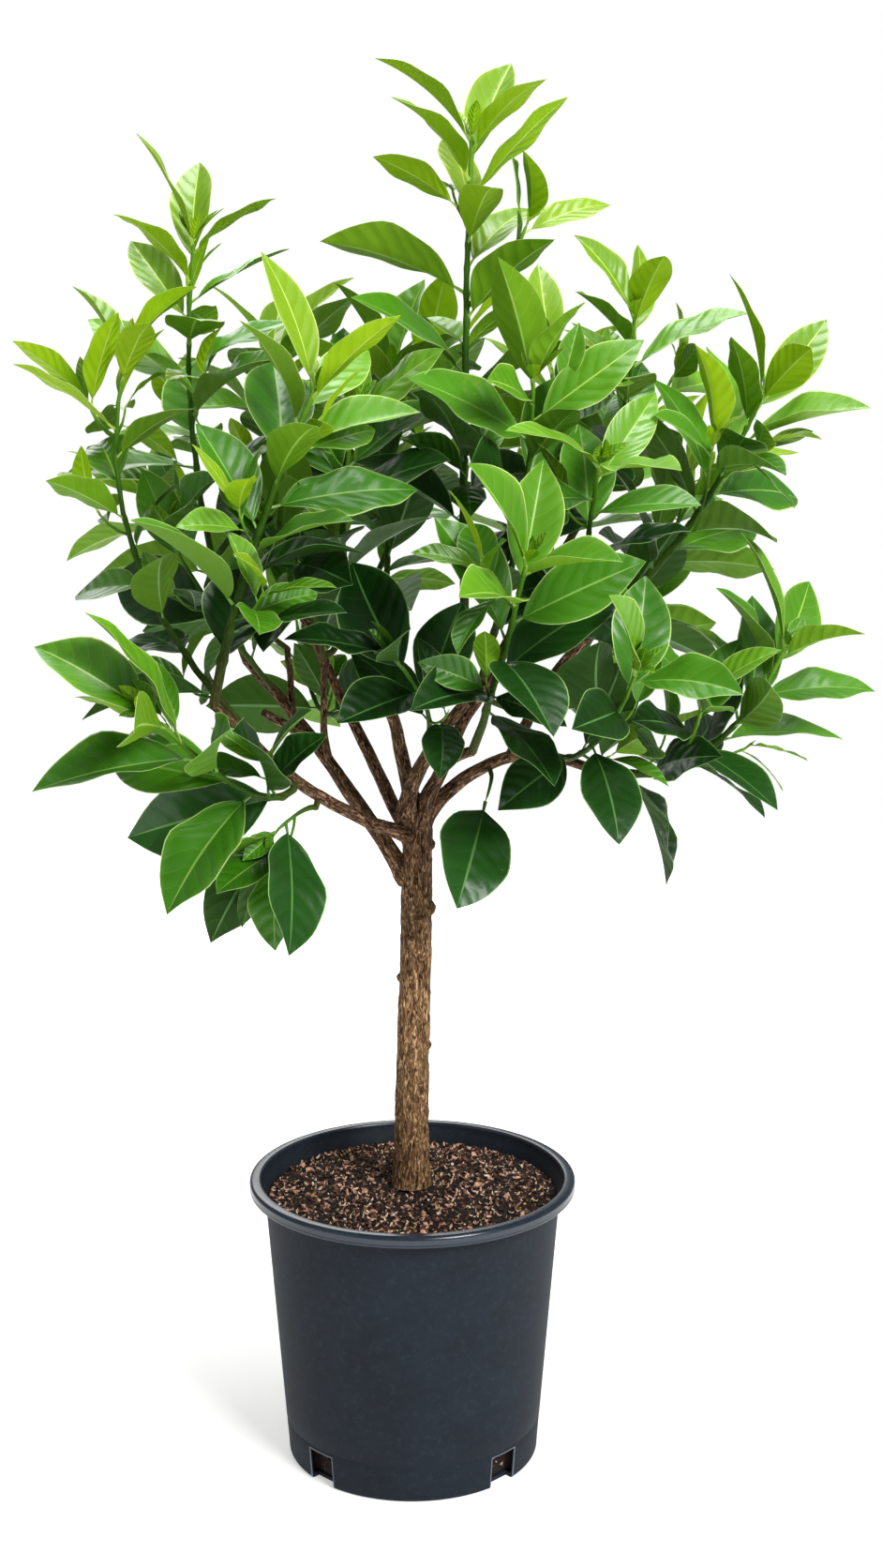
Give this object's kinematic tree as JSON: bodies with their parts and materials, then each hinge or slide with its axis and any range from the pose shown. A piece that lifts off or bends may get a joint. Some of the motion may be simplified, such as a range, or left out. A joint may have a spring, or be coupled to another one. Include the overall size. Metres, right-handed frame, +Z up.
{
  "type": "potted citrus standard tree",
  "caption": "Young half-standard citrus tree: a bare upright trunk, a forked open crown of large glossy leaves, and a round black nursery pot filled with bark compost.",
  "frame": {"origin": "centre of the pot's flat underside", "axes": "+Z up along the trunk, +X to the tree's right-hand side as seen from its front, -Y towards its front"},
  "size_m": [0.6947, 0.6233, 1.1826],
  "materials": {
    "pot_plastic": "satin charcoal-black polypropylene",
    "compost": "loose dark bark and peat",
    "bark": "matt tan-brown bark with fine upright fissures",
    "foliage": "glossy leaves, mid-green with yellow-green young tips"
  },
  "bodies": {
    "root": {"back_centre_shoot": "foliage", "back_left_bough": "bark", "back_left_low_shoot": "foliage", "back_left_shoot": "foliage", "back_low_shoot": "foliage", "back_right_bough": "bark", "back_right_low_shoot": "foliage", "back_right_shoot": "foliage", "centre_bough": "bark", "centre_front_shoot": "foliage", "centre_left_bough": "bark", "centre_left_shoot": "foliage", "centre_low_shoot": "foliage", "centre_right_shoot": "foliage", "compost": "compost", "crown_back_shoot": "foliage", "crown_top_shoot": "foliage", "cut_stub": "bark", "hanging_shoot": "foliage", "inner_left_shoot": "foliage", "inner_right_bough": "bark", "left_back_twig": "bark", "left_bough": "bark", "left_front_shoot": "foliage", "left_inner_twig": "bark", "left_middle_shoot": "foliage", "left_shoot": "foliage", "low_left_bough": "bark", "low_left_drooping_shoot": "foliage", "low_left_shoot": "foliage", "low_right_bough": "bark", "low_right_shoot": "foliage", "outer_left_shoot": "foliage", "pot": "pot_plastic", "right_back_shoot": "foliage", "right_bough": "bark", "right_centre_shoot": "foliage", "right_front_shoot": "foliage", "right_shoot": "foliage", "trunk": "bark", "upper_right_bough": "bark", "upper_right_shoot": "foliage"}
  },
  "joints": []
}
